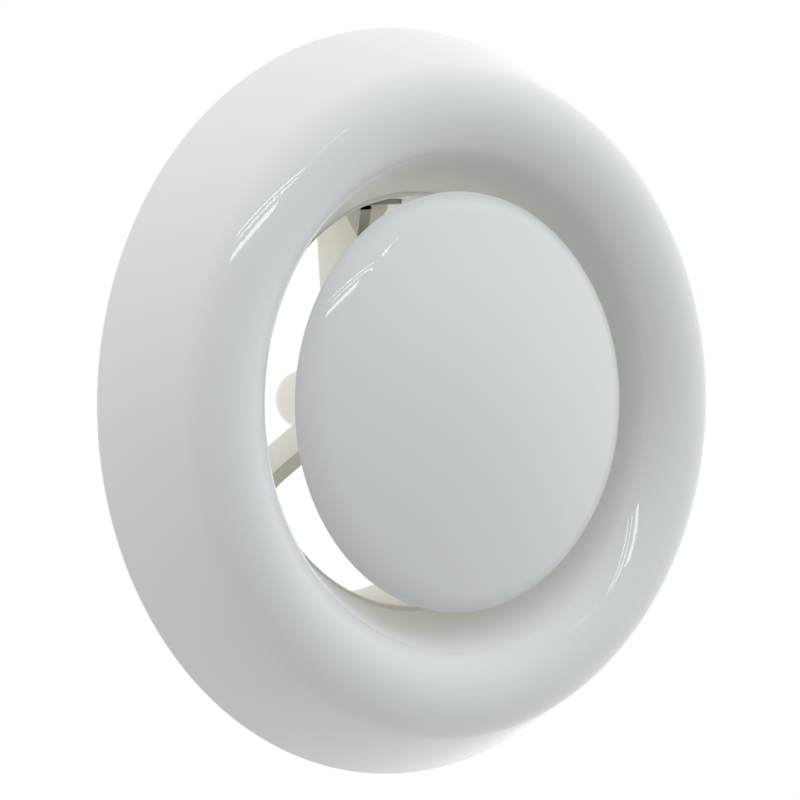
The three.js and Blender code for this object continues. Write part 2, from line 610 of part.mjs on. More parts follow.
const lockWasher = ring(BORE_RADIUS, WASHER_RADIUS, LOCK_WASHER_LOW, LOCK_WASHER_LOW + WASHER_THICKNESS);
group.add(named('lock_washer', lockWasher, ZINC));
group.add(named('lock_nut', hexNut(LOCK_NUT_LOW, LOCK_NUT_HEIGHT), ZINC));
group.add(named('spindle', spindle(), ZINC));
group.add(named('disc_shell', discShell(), GLOSS_WHITE));
group.add(named('disc_back_plate', discBackPlate(), MATTE_WHITE));

const spindleWasherLow = -SPINDLE_WASHER_DROP - WASHER_THICKNESS;
const spindleWasher = ring(BORE_RADIUS, WASHER_RADIUS, spindleWasherLow, -SPINDLE_WASHER_DROP);
group.add(named('spindle_washer', spindleWasher, ZINC));
group.add(named('spindle_nut', hexNut(-SPINDLE_NUT_DROP - SPINDLE_NUT_HEIGHT, SPINDLE_NUT_HEIGHT), ZINC));

export default group;
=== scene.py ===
"""Dresses the disc valve: smooth white mouldings, sprung steel clips, plated fasteners and a foam gasket."""
import math

import bmesh
import bpy
from mathutils import Matrix, Vector


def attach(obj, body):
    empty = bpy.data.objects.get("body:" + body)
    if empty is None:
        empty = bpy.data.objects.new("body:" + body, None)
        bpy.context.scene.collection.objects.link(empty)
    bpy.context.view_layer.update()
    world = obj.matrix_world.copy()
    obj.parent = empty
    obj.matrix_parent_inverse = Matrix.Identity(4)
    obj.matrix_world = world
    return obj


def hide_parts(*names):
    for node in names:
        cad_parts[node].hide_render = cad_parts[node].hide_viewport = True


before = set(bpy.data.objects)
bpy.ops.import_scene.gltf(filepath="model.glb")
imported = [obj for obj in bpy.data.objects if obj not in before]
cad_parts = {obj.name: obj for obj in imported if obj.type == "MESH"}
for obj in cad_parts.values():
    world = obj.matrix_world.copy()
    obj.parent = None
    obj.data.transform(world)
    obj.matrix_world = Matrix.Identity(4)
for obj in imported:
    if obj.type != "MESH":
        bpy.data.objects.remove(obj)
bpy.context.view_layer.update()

TURN = 2 * math.pi
MM = 0.001
COPIES = 3
CLEARANCE = 0.3

# Sizes in millimetres: the neck, and what spreads out from it
NECK_BORE_RADIUS = 40.4
NECK_WALL = 2
NECK_TAPER = 0.6
NECK_REACH = 25.4
NECK_OUTER_RADIUS = NECK_BORE_RADIUS + NECK_WALL
SCREW_CIRCLE_RADIUS = NECK_OUTER_RADIUS + 4.6
FLANGE_RADIUS = SCREW_CIRCLE_RADIUS + 5
FLANGE_THICKNESS = 2

# The fillet at roots and broad corners
FILLET = 0.8

# The face ring: a leaning skirt, a round lip and a funnel
THROAT_RADIUS = NECK_BORE_RADIUS + 0.7
THROAT_DROP = 3.3
NECK_TOP_DROP = THROAT_DROP - CLEARANCE
LIP_RING_RADIUS = THROAT_RADIUS + 15.5
LIP_ROUND = 10.2
LIP_DROP = 21.7
LIP_CENTRE_DROP = LIP_DROP - LIP_ROUND
RIM_RADIUS = LIP_RING_RADIUS + 17.4
RING_WALL = 2.2
RIB_COUNT = 12
RIB_THICKNESS = 1.6
RIB_START_DROP = 7
BOSS_RADIUS = 3.5
GROOVE_WIDTH = 8
GROOVE_WALL = 1.5
GROOVE_DEPTH = 2
LEDGE_THICKNESS = 1.8
GASKET_PROUD = 0.8

# The bridge, the hub sleeve and what turns in it
ARM_THICKNESS = 2.75
ARM_FRONT = 13.9
FOOT_FRONT = 10.6
FOOT_WIDTH = 11.4
FOOT_FULL_RADIUS = NECK_BORE_RADIUS - 2
FOOT_START_RADIUS = FOOT_FULL_RADIUS - 5.4
ARM_FLAT_REACH = FOOT_FULL_RADIUS - 11.4
SPINDLE_RADIUS = 4
SPINDLE_TOP = 24
THREAD_PITCH = 1.25
THREAD_DEPTH = 0.62
END_CHAMFER = 0.2
BORE_RADIUS = SPINDLE_RADIUS + CLEARANCE
SLEEVE_RADIUS = BORE_RADIUS + 1.8
SLEEVE_TIP = 40.6
SLEEVE_END_WALL = 2.2
SLEEVE_FLANGE_RADIUS = SLEEVE_RADIUS + 2.4
SLEEVE_FLANGE_THICKNESS = 1.2
HUB_BORE_RADIUS = SLEEVE_RADIUS + CLEARANCE
HUB_BOSS_RADIUS = HUB_BORE_RADIUS + 2.1
COLLAR_RADIUS = SPINDLE_RADIUS + 2.2
COLLAR_THICKNESS = 1.2
NUT_FLAT_RADIUS = BORE_RADIUS + 2.2
LOCK_NUT_HEIGHT = 5.5
SPINDLE_NUT_HEIGHT = 4.5
NUT_CHAMFER_SHARE = 0.6
NUT_BORE_CHAMFER = 0.5
WASHER_RADIUS = BORE_RADIUS + 3.7
WASHER_THICKNESS = 1
SLEEVE_FLANGE_LOW = ARM_FRONT - CLEARANCE - SLEEVE_FLANGE_THICKNESS
LOCK_WASHER_LOW = SLEEVE_FLANGE_LOW - CLEARANCE - WASHER_THICKNESS
LOCK_NUT_LOW = LOCK_WASHER_LOW - CLEARANCE - LOCK_NUT_HEIGHT

# The disc
DISC_RADIUS = NECK_BORE_RADIUS + 0.5
DISC_EDGE_DROP = 16.7
DISC_EDGE_LEAN = math.radians(61)
DISC_ROUND = 8.8
CROWN_RADIUS = 96
DISC_WALL = 2
DISC_EDGE_BEVEL = 0.8
PLATE_RADIUS = DISC_RADIUS - DISC_WALL - 0.7
PLATE_THICKNESS = 1.5
PLATE_TOP_DROP = DISC_EDGE_DROP - DISC_EDGE_BEVEL - 0.2
PLATE_REAR_DROP = PLATE_TOP_DROP - PLATE_THICKNESS
PLATE_BOSS_RADIUS = BORE_RADIUS + 4.7
PLATE_BOSS_DROP = PLATE_REAR_DROP - 3.7
PLATE_RIB_COUNT = 6
PLATE_RIB_THICKNESS = 1.4
PLATE_RIB_REACH = PLATE_RADIUS - 4.2
COLLAR_DROP = PLATE_BOSS_DROP - CLEARANCE - COLLAR_THICKNESS
SPINDLE_WASHER_DROP = PLATE_TOP_DROP + CLEARANCE
SPINDLE_NUT_DROP = SPINDLE_WASHER_DROP + WASHER_THICKNESS + CLEARANCE
SPINDLE_END_DROP = SPINDLE_NUT_DROP + SPINDLE_NUT_HEIGHT + 1.2

# Spring clips and their pockets
CLIP_WIDTH = 10.5
CLIP_THICKNESS = 0.6
CLIP_PIVOT_RADIUS = NECK_OUTER_RADIUS + 4.2
CLIP_PIVOT_HEIGHT = NECK_REACH - 3.1
CLIP_CREST_RADIUS = CLIP_PIVOT_RADIUS + 7.4
CLIP_CREST_HEIGHT = 11
CLIP_TIP_PROUD = 1.1
CLIP_TIP_HEIGHT = 4.7
CLIP_ROOT_REACH = 2.8
CLIP_ROOT_BEND = 2.6
CLIP_BEND = 3.2
CLIP_SHOULDER_INSET = 3.2
CLIP_SHOULDER_RISE = 1.2
CLIP_CORNER_CUT = 0.9
POCKET_BLOCK_WIDTH = 14.4
POCKET_BLOCK_FRONT = NECK_REACH - 6.4
POCKET_BLOCK_ROUND = 0.6
POCKET_DEPTH = 3.5
POCKET_FLARE = 1.4
SLOT_REAR_ROOM = 2.6

# Small screws
SCREW_RADIUS = 1.3
SCREW_HOLE_RADIUS = SCREW_RADIUS + CLEARANCE
SCREW_HEAD_RADIUS = 2.6
SCREW_HEAD_HEIGHT = 1.7
SCREW_HEAD_SIDE_SHARE = 0.35
SCREW_LENGTH = 7.6
FOOT_SCREW_LENGTH = 7
SCREW_PITCH = 0.9
SCREW_THREAD_DEPTH = 0.25
SCREW_POINT_LENGTH = 0.5
SCREW_POINT_SHARE = 0.3
SCREW_PLAIN_LENGTH = 0.6
RECESS_REACH = 1.5
RECESS_HALF_WIDTH = 0.32
RECESS_EDGE_DEPTH = 0.2
RECESS_DEPTH = 1.1
FOOT_SCREW_HEIGHT = POCKET_BLOCK_FRONT - SCREW_HEAD_RADIUS - 1

ARM_ANGLES = [TURN / 4 + i * TURN / COPIES for i in range(COPIES)]
SCREW_ANGLES = [angle + TURN / 2 for angle in ARM_ANGLES]

# Fineness of the meshes, in steps round a circle or along an arc
ROUND_STEPS = 256
HUB_STEPS = 96
SMALL_STEPS = 64
SCREW_STEPS = 48
LIP_STEPS = 56
DISC_EDGE_STEPS = 32
SLEEVE_DOME_STEPS = 16
CLIP_BEND_STEPS = 12
SCREW_DOME_STEPS = 8

# How far a cutting shape runs past what it cuts, and how near points are taken as one, in millimetres
OVERRUN = 2
SAME_PLACE = 1e-4


def neck_inside(height):
    """The radius of the neck's tapered bore at a height."""
    return NECK_BORE_RADIUS - NECK_TAPER * (height + NECK_TOP_DROP) / (NECK_REACH + NECK_TOP_DROP)


FOOT_SCREW_SEAT = neck_inside(FOOT_SCREW_HEIGHT) + NECK_WALL + CLEARANCE


def circle(radius, count):
    """Evenly spaced points on a circle about the origin."""
    angles = [TURN * k / count for k in range(count)]
    return [(radius * math.cos(a), radius * math.sin(a)) for a in angles]


def dome(radius, base, rise, steps):
    """Corners up a quarter of an ellipse, from its widest place almost to its top."""
    angles = [TURN / 4 * k / steps for k in range(steps)]
    return [(radius * math.cos(a), base + rise * math.sin(a), 0) for a in angles]


def rounded(corners, steps=4):
    """An outline of (across, along, fillet) corners, each sharp or rounded by an arc."""
    points = []
    for i, (x, y, fillet) in enumerate(corners):
        here = Vector((x, y))
        if fillet == 0:
            points.append(here)
            continue
        before = Vector(corners[i - 1][:2]) - here
        after = Vector(corners[(i + 1) % len(corners)][:2]) - here
        half = before.angle(after) / 2
        reach = min(fillet / math.tan(half), before.length / 2, after.length / 2)
        start, end = here + before.normalized() * reach, here + after.normalized() * reach
        middle = here + (before.normalized() + after.normalized()).normalized() * reach / math.cos(half)
        sweep = (start - middle).angle_signed(end - middle)
        for k in range(steps + 1):
            points.append(middle + Matrix.Rotation(-sweep * k / steps, 2) @ (start - middle))
    return points


def finished(name, bm):
    """An object made of a closed bmesh in millimetres, its faces turned outwards."""
    bmesh.ops.remove_doubles(bm, verts=bm.verts, dist=SAME_PLACE)
    bmesh.ops.dissolve_degenerate(bm, edges=bm.edges, dist=SAME_PLACE)
    bmesh.ops.recalc_face_normals(bm, faces=bm.faces)
    bmesh.ops.scale(bm, vec=(MM, MM, MM), verts=bm.verts)
    mesh = bpy.data.meshes.new(name)
    bm.to_mesh(mesh)
    bm.free()
    made = bpy.data.objects.new(name, mesh)
    bpy.context.collection.objects.link(made)
    return made


def turned(name, outline, steps=ROUND_STEPS, open_ended=False):
    """A round solid about the Z axis from an outline of (radius, height) points."""
    bm = bmesh.new()
    rings = []
    for radius, height in outline:
        if radius < SAME_PLACE:
            rings.append([bm.verts.new((0, 0, height))] * steps)
            continue
        rings.append([bm.verts.new((x, y, height)) for x, y in circle(radius, steps)])
    following = rings[1:] if open_ended else rings[1:] + rings[:1]
    for low, high in zip(rings, following):
        for k in range(steps):
            n = (k + 1) % steps
            corners = list(dict.fromkeys((low[k], low[n], high[n], high[k])))
            if len(corners) > 2:
                bm.faces.new(corners)
    return finished(name, bm)


def solid_turned(name, outline, steps=ROUND_STEPS):
    """A turned solid whose outline starts and ends on the axis."""
    return turned(name, outline, steps, open_ended=True)


def ring_outline(inner, outer, low, high, edge):
    """The outline of a flat ring with rounded edges."""
    return rounded([(inner, low, edge), (outer, low, edge), (outer, high, edge), (inner, high, edge)])


def extruded(name, outline, low, high, place):
    """A flat outline given a thickness from low to high, then placed by a matrix."""
    bm = bmesh.new()
    bottom = [bm.verts.new((x, y, low)) for x, y in outline]
    top = [bm.verts.new((x, y, high)) for x, y in outline]
    count = len(outline)
    bm.faces.new(bottom)
    bm.faces.new(list(reversed(top)))
    for k in range(count):
        n = (k + 1) % count
        bm.faces.new((bottom[k], top[k], top[n], bottom[n]))
    bmesh.ops.transform(bm, matrix=place, verts=bm.verts)
    return finished(name, bm)


def turn_about_axis(angle):
    return Matrix.Rotation(angle, 4, "Z")


def on_radius(angle):
    """Stands an outline of (radius, height) on the radius at an angle, its thickness across."""
    return turn_about_axis(angle) @ Matrix.Rotation(TURN / 4, 4, "X")


def rod(name, radius, low, high, place):
    return extruded(name, circle(radius, SMALL_STEPS), low, high, place)


def upright_at(radius, angle):
    return turn_about_axis(angle) @ Matrix.Translation((radius, 0, 0))


def along_radius(height, angle):
    """Lays a rod on the radius at a height, its length running outwards."""
    return turn_about_axis(angle) @ Matrix.Translation((0, 0, height)) @ Matrix.Rotation(TURN / 4, 4, "Y")


def settled(piece):
    """Puts the piece's modifiers into its mesh."""
    graph = bpy.context.evaluated_depsgraph_get()
    mesh = bpy.data.meshes.new_from_object(piece.evaluated_get(graph))
    piece.modifiers.clear()
    piece.data = mesh
    return piece


def joined(pieces):
    """Separate shells put in one mesh."""
    bm = bmesh.new()
    for piece in pieces:
        bm.from_mesh(piece.data)
        bpy.data.objects.remove(piece)
    mesh = bpy.data.meshes.new("shells")
    bm.to_mesh(mesh)
    bm.free()
    made = bpy.data.objects.new("shells", mesh)
    bpy.context.collection.objects.link(made)
    return made


def combined(piece, operation, others):
    """The piece joined with, cut by or kept inside the other pieces, which are used up."""
    tool = joined(others)
    change = piece.modifiers.new("shape", "BOOLEAN")
    change.operation, change.object, change.solver = operation, tool, "MANIFOLD"
    settled(piece)
    bpy.data.objects.remove(tool)
    return piece


def softened(piece, width, segments=2, angle=40):
    """Rounds the piece's sharp edges a little."""
    edge = piece.modifiers.new("edge", "BEVEL")
    edge.width, edge.segments = width * MM, segments
    edge.limit_method, edge.angle_limit = "ANGLE", math.radians(angle)
    edge.harden_normals = False
    edge.miter_outer = "MITER_ARC"
    return settled(piece)


def shaded(piece, angle=32):
    """Smooth over curves, with creases where faces meet at more than an angle."""
    piece.data.polygons.foreach_set("use_smooth", [True] * len(piece.data.polygons))
    piece.data.set_sharp_from_angle(angle=math.radians(angle))
    return piece


def lean(across, along, radius):
    """How far a line from a point to the lip's round leans, the point being so far across and along."""
    return math.acos(radius / math.hypot(across, along)) - math.atan2(along, across)


SKIRT_LEAN = lean(RIM_RADIUS - LIP_RING_RADIUS, LIP_CENTRE_DROP, LIP_ROUND)
FUNNEL_LEAN = lean(LIP_RING_RADIUS - THROAT_RADIUS, LIP_CENTRE_DROP - THROAT_DROP, LIP_ROUND)


def lip_arc(radius, steps):
    """Points round the lip from the skirt's side to the funnel's side."""
    sweep = TURN / 2 - SKIRT_LEAN - FUNNEL_LEAN
    angles = [SKIRT_LEAN + sweep * k / steps for k in range(steps + 1)]
    return [(LIP_RING_RADIUS + radius * math.cos(a), -LIP_CENTRE_DROP - radius * math.sin(a), 0)
            for a in angles]


def skirt_radius(drop, depth):
    return RIM_RADIUS - drop * math.tan(SKIRT_LEAN) - depth / math.cos(SKIRT_LEAN)


def funnel_radius(drop, depth):
    return THROAT_RADIUS + (drop - THROAT_DROP) * math.tan(FUNNEL_LEAN) + depth / math.cos(FUNNEL_LEAN)


def face_ring():
    groove_outer = skirt_radius(GROOVE_DEPTH, RING_WALL)
    groove_inner = groove_outer - GROOVE_WIDTH
    ledge_inner = groove_inner - GROOVE_WALL
    ledge_back = GROOVE_DEPTH + LEDGE_THICKNESS
    edge = 0.4
    shell = turned("face_ring_moulding", rounded([
        (RIM_RADIUS, 0, edge),
        *lip_arc(LIP_ROUND, LIP_STEPS),
        (THROAT_RADIUS, -THROAT_DROP, edge),
        (funnel_radius(THROAT_DROP, RING_WALL), -THROAT_DROP, edge),
        *reversed(lip_arc(LIP_ROUND - RING_WALL, LIP_STEPS // 2)),
        (skirt_radius(ledge_back, RING_WALL), -ledge_back, edge),
        (ledge_inner, -ledge_back, edge),
        (ledge_inner, 0, edge),
        (groove_inner, 0, edge),
        (groove_inner, -GROOVE_DEPTH, edge),
        (groove_outer, -GROOVE_DEPTH, edge),
        (skirt_radius(0, RING_WALL), 0, edge),
    ]))
    middle = RING_WALL / 2

    def hollow_from(drop):
        sides = [(skirt_radius(drop, middle), -drop, 0), (funnel_radius(drop, middle), -drop, 0)]
        return [sides[0], *lip_arc(LIP_ROUND - middle, LIP_STEPS // 2), sides[1]]

    rib_outline = rounded(hollow_from(RIB_START_DROP))
    half = RIB_THICKNESS / 2
    ribs = [extruded("rib", rib_outline, -half, half, on_radius((i + 0.5) * TURN / RIB_COUNT))
            for i in range(RIB_COUNT)]
    bosses = [rod("boss", BOSS_RADIUS, -LIP_DROP, -THROAT_DROP, upright_at(SCREW_CIRCLE_RADIUS, angle))
              for angle in SCREW_ANGLES]
    hollow = turned("hollow", rounded(hollow_from(THROAT_DROP)))
    inner = combined(joined(bosses), "INTERSECT", [hollow])
    shell = combined(shell, "UNION", ribs + [inner])
    low = -THROAT_DROP - (SCREW_LENGTH - FLANGE_THICKNESS + CLEARANCE)
    holes = [rod("hole", SCREW_HOLE_RADIUS, low, OVERRUN, upright_at(SCREW_CIRCLE_RADIUS, angle))
             for angle in SCREW_ANGLES]
    return combined(shell, "DIFFERENCE", holes)


def rim_gasket():
    outer = skirt_radius(GROOVE_DEPTH, RING_WALL) - CLEARANCE
    inner = outer - GROOVE_WIDTH + 2 * CLEARANCE
    low = -GROOVE_DEPTH + CLEARANCE
    edge = 0.7
    return turned("rim_gasket_foam", ring_outline(inner, outer, low, GASKET_PROUD, edge))


def neck_sleeve():
    rear = neck_inside(NECK_REACH)
    back = NECK_TOP_DROP - FLANGE_THICKNESS
    edge = 0.35
    sleeve = turned("neck_sleeve_moulding", rounded([
        (NECK_BORE_RADIUS, -NECK_TOP_DROP, edge),
        (FLANGE_RADIUS, -NECK_TOP_DROP, edge),
        (FLANGE_RADIUS, -back, edge),
        (neck_inside(-back) + NECK_WALL, -back, FILLET),
        (rear + NECK_WALL, NECK_REACH, FILLET),
        (rear, NECK_REACH, edge),
    ]))
    half = POCKET_BLOCK_WIDTH / 2
    block = rounded([
        (rear + NECK_WALL / 2, POCKET_BLOCK_FRONT, 0),
        (CLIP_PIVOT_RADIUS, POCKET_BLOCK_FRONT, POCKET_BLOCK_ROUND),
        (CLIP_PIVOT_RADIUS, NECK_REACH, POCKET_BLOCK_ROUND),
        (rear + NECK_WALL / 2, NECK_REACH, 0),
    ])
    blocks = [extruded("block", block, -half, half, on_radius(angle)) for angle in ARM_ANGLES]
    sleeve = combined(sleeve, "UNION", blocks)
    gap = CLIP_THICKNESS / 2 + CLEARANCE
    pocket = [
        (CLIP_PIVOT_RADIUS - POCKET_DEPTH, CLIP_PIVOT_HEIGHT - gap),
        (CLIP_PIVOT_RADIUS + OVERRUN, CLIP_PIVOT_HEIGHT - gap),
        (CLIP_PIVOT_RADIUS + OVERRUN, CLIP_PIVOT_HEIGHT + gap),
        (CLIP_PIVOT_RADIUS, CLIP_PIVOT_HEIGHT + gap),
        (CLIP_PIVOT_RADIUS - POCKET_DEPTH, CLIP_PIVOT_HEIGHT + gap + POCKET_FLARE),
    ]
    slot = [
        (rear - OVERRUN, CLIP_TIP_HEIGHT - gap),
        (NECK_OUTER_RADIUS + OVERRUN, CLIP_TIP_HEIGHT - gap),
        (NECK_OUTER_RADIUS + OVERRUN, CLIP_TIP_HEIGHT + gap + SLOT_REAR_ROOM),
        (rear - OVERRUN, CLIP_TIP_HEIGHT + gap + SLOT_REAR_ROOM),
    ]
    half = CLIP_WIDTH / 2 + CLEARANCE
    cuts = [extruded("cut", shape, -half, half, on_radius(angle))
            for shape in (pocket, slot) for angle in ARM_ANGLES]
    cuts += [rod("cut", SCREW_HOLE_RADIUS, rear - OVERRUN, NECK_OUTER_RADIUS + OVERRUN,
                 along_radius(FOOT_SCREW_HEIGHT, angle)) for angle in ARM_ANGLES]
    cuts += [rod("cut", SCREW_HOLE_RADIUS, -NECK_TOP_DROP - OVERRUN, OVERRUN,
                 upright_at(SCREW_CIRCLE_RADIUS, angle)) for angle in SCREW_ANGLES]
    return combined(sleeve, "DIFFERENCE", cuts)


def bridge():
    past = NECK_BORE_RADIUS + OVERRUN
    low = FOOT_FRONT - OVERRUN

    def wall_gap(height):
        return neck_inside(height) - CLEARANCE

    inside = solid_turned("inside", [
        (0, low), (wall_gap(low), low), (wall_gap(NECK_REACH), NECK_REACH), (0, NECK_REACH),
    ])
    hub = solid_turned("bridge_moulding", rounded([
        (0, ARM_FRONT, 0), (HUB_BOSS_RADIUS, ARM_FRONT, 0),
        (HUB_BOSS_RADIUS, NECK_REACH, 0), (0, NECK_REACH, 0),
    ]), HUB_STEPS)
    half = ARM_THICKNESS / 2
    start = HUB_BOSS_RADIUS / 2
    arm = [(start, ARM_FRONT), (ARM_FLAT_REACH, ARM_FRONT), (FOOT_FULL_RADIUS, FOOT_FRONT),
           (past, FOOT_FRONT), (past, NECK_REACH), (start, NECK_REACH)]
    arms = [extruded("arm", arm, -half, half, on_radius(angle)) for angle in ARM_ANGLES]
    full_share = (FOOT_START_RADIUS - ARM_FLAT_REACH) / (FOOT_FULL_RADIUS - ARM_FLAT_REACH)
    foot_low = ARM_FRONT + (FOOT_FRONT - ARM_FRONT) * full_share
    wide = FOOT_WIDTH / 2
    plan = [(point.x, point.y) for point in rounded([
        (FOOT_START_RADIUS, -half, 0), (FOOT_FULL_RADIUS, -wide, FILLET), (past, -wide, 0),
        (past, wide, 0), (FOOT_FULL_RADIUS, wide, FILLET), (FOOT_START_RADIUS, half, 0),
    ])]
    side = [(FOOT_START_RADIUS, foot_low), (FOOT_FULL_RADIUS, FOOT_FRONT), (past, FOOT_FRONT),
            (past, NECK_REACH), (FOOT_START_RADIUS, NECK_REACH)]
    feet = []
    for angle in ARM_ANGLES:
        foot = extruded("foot", plan, low, NECK_REACH, turn_about_axis(angle))
        feet.append(combined(foot, "INTERSECT", [extruded("side", side, -wide, wide, on_radius(angle))]))
    whole = combined(hub, "UNION", arms + feet)
    whole = combined(whole, "INTERSECT", [inside])
    hole_end = FOOT_SCREW_SEAT - FOOT_SCREW_LENGTH - CLEARANCE
    cuts = [rod("cut", HUB_BORE_RADIUS, ARM_FRONT - OVERRUN, NECK_REACH + OVERRUN, Matrix())]
    cuts += [rod("cut", SCREW_HOLE_RADIUS, hole_end, past, along_radius(FOOT_SCREW_HEIGHT, angle))
             for angle in ARM_ANGLES]
    edge = 0.3
    return softened(combined(whole, "DIFFERENCE", cuts), edge)


def hub_sleeve():
    end = SLEEVE_TIP - SLEEVE_END_WALL
    top = SLEEVE_FLANGE_LOW + SLEEVE_FLANGE_THICKNESS
    mouth_edge, flange_edge, root = 0.4, 0.3, 0.2
    return solid_turned("hub_sleeve_moulding", rounded([
        (0, end, 0),
        (BORE_RADIUS, end - BORE_RADIUS / 2, 0),
        (BORE_RADIUS, SLEEVE_FLANGE_LOW, mouth_edge),
        (SLEEVE_FLANGE_RADIUS, SLEEVE_FLANGE_LOW, flange_edge),
        (SLEEVE_FLANGE_RADIUS, top, flange_edge),
        (SLEEVE_RADIUS, top, root),
        *dome(SLEEVE_RADIUS, SLEEVE_TIP - SLEEVE_RADIUS, SLEEVE_RADIUS, SLEEVE_DOME_STEPS),
        (0, SLEEVE_TIP, 0),
    ]), HUB_STEPS)


ROUND_RING_RADIUS = DISC_RADIUS - DISC_ROUND * math.sin(DISC_EDGE_LEAN)
ROUND_CENTRE_DROP = DISC_EDGE_DROP - DISC_ROUND * math.cos(DISC_EDGE_LEAN)
CROWN_LEAN = math.asin(ROUND_RING_RADIUS / (CROWN_RADIUS - DISC_ROUND))
CROWN_CENTRE_DROP = ROUND_CENTRE_DROP - (CROWN_RADIUS - DISC_ROUND) * math.cos(CROWN_LEAN)


def disc_face(depth, from_lean, steps):
    """Points on the disc's round edge and wide crown, set in by a depth, from a lean to the axis."""
    def arc(ring_radius, centre_drop, radius, start, end):
        angles = [start + (end - start) * k / steps for k in range(steps + 1)]
        return [(ring_radius + radius * math.sin(a), -centre_drop - radius * math.cos(a), 0) for a in angles]
    edge = arc(ROUND_RING_RADIUS, ROUND_CENTRE_DROP, DISC_ROUND - depth, from_lean, CROWN_LEAN)
    crown = arc(0, CROWN_CENTRE_DROP, CROWN_RADIUS - depth, CROWN_LEAN, 0)
    return edge + crown[1:]


def disc_shell():
    rear_drop = DISC_EDGE_DROP - DISC_EDGE_BEVEL
    mouth = PLATE_RADIUS + CLEARANCE
    mouth_lean = math.asin((mouth - ROUND_RING_RADIUS) / (DISC_ROUND - DISC_WALL))
    front = disc_face(0, DISC_EDGE_LEAN, DISC_EDGE_STEPS)
    across, height, _ = front[0]
    mouth_edge, outer_edge = 0.3, 0.5
    # The front's second point is left out, which makes room for the outer edge's round
    return solid_turned("disc_shell_moulding", rounded([
        *reversed(disc_face(DISC_WALL, mouth_lean, DISC_EDGE_STEPS // 2)),
        (mouth, -rear_drop, mouth_edge),
        (DISC_RADIUS - DISC_EDGE_BEVEL, -rear_drop, outer_edge),
        (across, height, outer_edge),
        *front[2:],
    ]))


def disc_back_plate():
    edge, boss_edge, rib_step = 0.3, 0.5, 0.5
    plate = turned("disc_back_plate_moulding", rounded([
        (BORE_RADIUS, -PLATE_TOP_DROP, edge), (PLATE_RADIUS, -PLATE_TOP_DROP, edge),
        (PLATE_RADIUS, -PLATE_REAR_DROP, edge), (PLATE_BOSS_RADIUS, -PLATE_REAR_DROP, FILLET),
        (PLATE_BOSS_RADIUS, -PLATE_BOSS_DROP, boss_edge), (BORE_RADIUS, -PLATE_BOSS_DROP, edge),
    ]))
    inner = (BORE_RADIUS + PLATE_BOSS_RADIUS) / 2
    middle = PLATE_REAR_DROP + PLATE_THICKNESS / 2
    rib_top = -PLATE_BOSS_DROP - rib_step
    outline = [(inner, rib_top), (PLATE_BOSS_RADIUS, rib_top),
               (PLATE_RIB_REACH, -PLATE_REAR_DROP), (PLATE_RIB_REACH, -middle), (inner, -middle)]
    half = PLATE_RIB_THICKNESS / 2
    ribs = [extruded("rib", outline, -half, half, on_radius(i * TURN / PLATE_RIB_COUNT))
            for i in range(PLATE_RIB_COUNT)]
    return combined(plate, "UNION", ribs)


def spindle():
    """A threaded rod: its rows of points follow the thread's helix, and its ends are cut flat."""
    rows_per_turn, steps = 4, SCREW_STEPS
    low, high = -SPINDLE_END_DROP, SPINDLE_TOP
    turns = math.ceil((high - low) / THREAD_PITCH) + 1
    depth_shares = (1, 0.5, 0, 0.5)
    end_radius = SPINDLE_RADIUS - THREAD_DEPTH - END_CHAMFER
    bm = bmesh.new()
    grid = []
    for row in range(-rows_per_turn, turns * rows_per_turn):
        depth = THREAD_DEPTH * depth_shares[row % rows_per_turn]
        line = []
        for k in range(steps + 1):
            height = low + (row / rows_per_turn + k / steps) * THREAD_PITCH
            lead = min(height - low, high - height)
            radius = min(SPINDLE_RADIUS - depth, end_radius + max(lead, 0))
            angle = TURN * k / steps
            height = min(max(height, low), high)
            line.append(bm.verts.new((radius * math.cos(angle), radius * math.sin(angle), height)))
        grid.append(line)
    for lower, upper in zip(grid, grid[1:]):
        for k in range(steps):
            bm.faces.new((lower[k], lower[k + 1], upper[k + 1], upper[k]))
    # The rows past an end all lie on it, and what is left of their faces has no area
    bmesh.ops.remove_doubles(bm, verts=bm.verts, dist=10 * SAME_PLACE)
    no_area = 1e-7
    flat = [face for face in bm.faces if face.calc_area() < no_area]
    bmesh.ops.delete(bm, geom=flat, context="FACES")
    bmesh.ops.holes_fill(bm, edges=[edge for edge in bm.edges if edge.is_boundary])
    threaded = finished("spindle_rod", bm)
    edge = 0.25
    collar = solid_turned("collar", rounded([
        (0, -COLLAR_DROP - COLLAR_THICKNESS, 0), (COLLAR_RADIUS, -COLLAR_DROP - COLLAR_THICKNESS, edge),
        (COLLAR_RADIUS, -COLLAR_DROP, edge), (0, -COLLAR_DROP, 0),
    ]), SMALL_STEPS)
    return combined(threaded, "UNION", [collar])


def hex_nut(name, low, height):
    """A hexagon nut with a plain bore, its corners and the bore's mouths chamfered."""
    corner = NUT_FLAT_RADIUS / math.cos(TURN / 12)
    high = low + height
    prism = extruded(name, circle(corner, 6), low, high, Matrix())
    slope = (corner - NUT_FLAT_RADIUS) * NUT_CHAMFER_SHARE
    past, edge = 0.1, 0.12
    mouth = BORE_RADIUS + NUT_BORE_CHAMFER
    cone = turned("cone", [
        (mouth, low), (NUT_FLAT_RADIUS, low), (corner + past, low + slope),
        (corner + past, high - slope), (NUT_FLAT_RADIUS, high), (mouth, high),
        (BORE_RADIUS, high - NUT_BORE_CHAMFER), (BORE_RADIUS, low + NUT_BORE_CHAMFER),
    ], HUB_STEPS)
    return softened(combined(prism, "INTERSECT", [cone]), edge)


def washer(name, low):
    edge = 0.2
    high = low + WASHER_THICKNESS
    return turned(name, ring_outline(BORE_RADIUS, WASHER_RADIUS, low, high, edge), HUB_STEPS)


